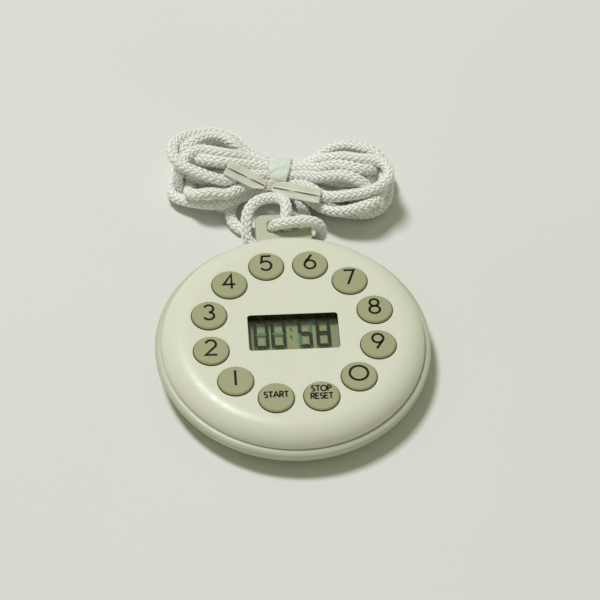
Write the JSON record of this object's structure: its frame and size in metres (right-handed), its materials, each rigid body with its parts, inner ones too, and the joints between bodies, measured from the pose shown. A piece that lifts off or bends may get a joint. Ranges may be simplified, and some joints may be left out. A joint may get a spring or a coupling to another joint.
{
  "type": "lab timer",
  "caption": "Round pocket laboratory timer with a ring of keys around a small display, and a hanked neck cord through its lug.",
  "frame": {"origin": "centre of the flat back face, on the round case's axis", "axes": "+Z out of the front face, +Y towards the neck cord lug, +X to the right as the display is read"},
  "size_m": [0.07, 0.107, 0.0147],
  "materials": {
    "cream_shell": "glossy ivory moulded ABS",
    "grey_shell": "pale warm grey moulded ABS, semi-gloss",
    "key_plastic": "sage grey-green moulded ABS, satin",
    "clear_window": "clear moulded acrylic",
    "lcd_glass": "clear soda-lime glass",
    "polariser": "neutral grey-green polarising film",
    "reflector_film": "pressed silver-grey reflector film",
    "black_plastic": "matt black moulded plastic",
    "zebra_rubber": "striped conductive silicone",
    "board": "green solder mask on epoxy glass",
    "gold_pad": "gold-plated copper",
    "epoxy": "black epoxy, satin",
    "crystal_metal": "nickel-plated can",
    "ceramic_chip": "brown ceramic with tinned ends",
    "silicone": "grey translucent silicone rubber",
    "carbon_pill": "black conductive rubber",
    "seal_rubber": "black nitrile rubber",
    "cell_steel": "nickel-plated steel",
    "contact_metal": "nickel-plated spring steel",
    "sounder_brass": "rolled brass disc",
    "sounder_silver": "silver electrode on ceramic",
    "lead_insulation": "red PVC insulation",
    "screw_steel": "zinc-plated steel",
    "white_cord": "glossy white braided nylon",
    "tie_strip": "translucent white PVC strip",
    "tie_core": "dark annealed iron wire"
  },
  "bodies": {
    "case": {"front_shell": "cream_shell", "rear_shell": "grey_shell", "case_screws": "screw_steel", "window_lens": "clear_window", "lcd_front_polariser": "polariser", "lcd_front_glass": "lcd_glass", "lcd_rear_glass": "lcd_glass", "lcd_reflector": "reflector_film", "lcd_frame": "black_plastic", "zebra_strip": "zebra_rubber", "main_board": "board", "key_contact_pads": "gold_pad", "chip_blob": "epoxy", "crystal_can": "crystal_metal", "chip_capacitors": "ceramic_chip", "keypad_mat": "silicone", "button_cell": "cell_steel", "contact_negative": "contact_metal", "contact_positive": "contact_metal", "sounder_disc": "sounder_brass", "sounder_ceramic": "sounder_silver", "sounder_leads": "lead_insulation", "lanyard_hank": "white_cord", "lanyard_lead_left": "white_cord", "lanyard_lead_right": "white_cord", "twist_tie": "tie_strip", "tie_wires": "tie_core"},
    "battery_door": {"battery_door": "grey_shell", "door_seal": "seal_rubber"},
    "key_start": {"key_start": "key_plastic", "pill_start": "carbon_pill"},
    "key_stop_reset": {"key_stop_reset": "key_plastic", "pill_stop_reset": "carbon_pill"},
    "key_0": {"key_0": "key_plastic", "pill_0": "carbon_pill"},
    "key_1": {"key_1": "key_plastic", "pill_1": "carbon_pill"},
    "key_2": {"key_2": "key_plastic", "pill_2": "carbon_pill"},
    "key_3": {"key_3": "key_plastic", "pill_3": "carbon_pill"},
    "key_4": {"key_4": "key_plastic", "pill_4": "carbon_pill"},
    "key_5": {"key_5": "key_plastic", "pill_5": "carbon_pill"},
    "key_6": {"key_6": "key_plastic", "pill_6": "carbon_pill"},
    "key_7": {"key_7": "key_plastic", "pill_7": "carbon_pill"},
    "key_8": {"key_8": "key_plastic", "pill_8": "carbon_pill"},
    "key_9": {"key_9": "key_plastic", "pill_9": "carbon_pill"}
  },
  "joints": [
    {"name": "battery_door_turn", "type": "hinge", "parent": "case", "child": "battery_door", "pos_m": [0, -0.016, 0], "axis": [0, 0, -1], "range_deg": [0, 50]},
    {"name": "key_start_press", "type": "slide", "parent": "case", "child": "key_start", "axis": [0, 0, -1], "range_m": [0, 0.0008], "stiffness_N_per_m": 900, "deforming": ["keypad_mat"]},
    {"name": "key_stop_reset_press", "type": "slide", "parent": "case", "child": "key_stop_reset", "axis": [0, 0, -1], "range_m": [0, 0.0008], "stiffness_N_per_m": 900, "deforming": ["keypad_mat"]},
    {"name": "key_0_press", "type": "slide", "parent": "case", "child": "key_0", "axis": [0, 0, -1], "range_m": [0, 0.0008], "stiffness_N_per_m": 900, "deforming": ["keypad_mat"]},
    {"name": "key_1_press", "type": "slide", "parent": "case", "child": "key_1", "axis": [0, 0, -1], "range_m": [0, 0.0008], "stiffness_N_per_m": 900, "deforming": ["keypad_mat"]},
    {"name": "key_2_press", "type": "slide", "parent": "case", "child": "key_2", "axis": [0, 0, -1], "range_m": [0, 0.0008], "stiffness_N_per_m": 900, "deforming": ["keypad_mat"]},
    {"name": "key_3_press", "type": "slide", "parent": "case", "child": "key_3", "axis": [0, 0, -1], "range_m": [0, 0.0008], "stiffness_N_per_m": 900, "deforming": ["keypad_mat"]},
    {"name": "key_4_press", "type": "slide", "parent": "case", "child": "key_4", "axis": [0, 0, -1], "range_m": [0, 0.0008], "stiffness_N_per_m": 900, "deforming": ["keypad_mat"]},
    {"name": "key_5_press", "type": "slide", "parent": "case", "child": "key_5", "axis": [0, 0, -1], "range_m": [0, 0.0008], "stiffness_N_per_m": 900, "deforming": ["keypad_mat"]},
    {"name": "key_6_press", "type": "slide", "parent": "case", "child": "key_6", "axis": [0, 0, -1], "range_m": [0, 0.0008], "stiffness_N_per_m": 900, "deforming": ["keypad_mat"]},
    {"name": "key_7_press", "type": "slide", "parent": "case", "child": "key_7", "axis": [0, 0, -1], "range_m": [0, 0.0008], "stiffness_N_per_m": 900, "deforming": ["keypad_mat"]},
    {"name": "key_8_press", "type": "slide", "parent": "case", "child": "key_8", "axis": [0, 0, -1], "range_m": [0, 0.0008], "stiffness_N_per_m": 900, "deforming": ["keypad_mat"]},
    {"name": "key_9_press", "type": "slide", "parent": "case", "child": "key_9", "axis": [0, 0, -1], "range_m": [0, 0.0008], "stiffness_N_per_m": 900, "deforming": ["keypad_mat"]}
  ]
}
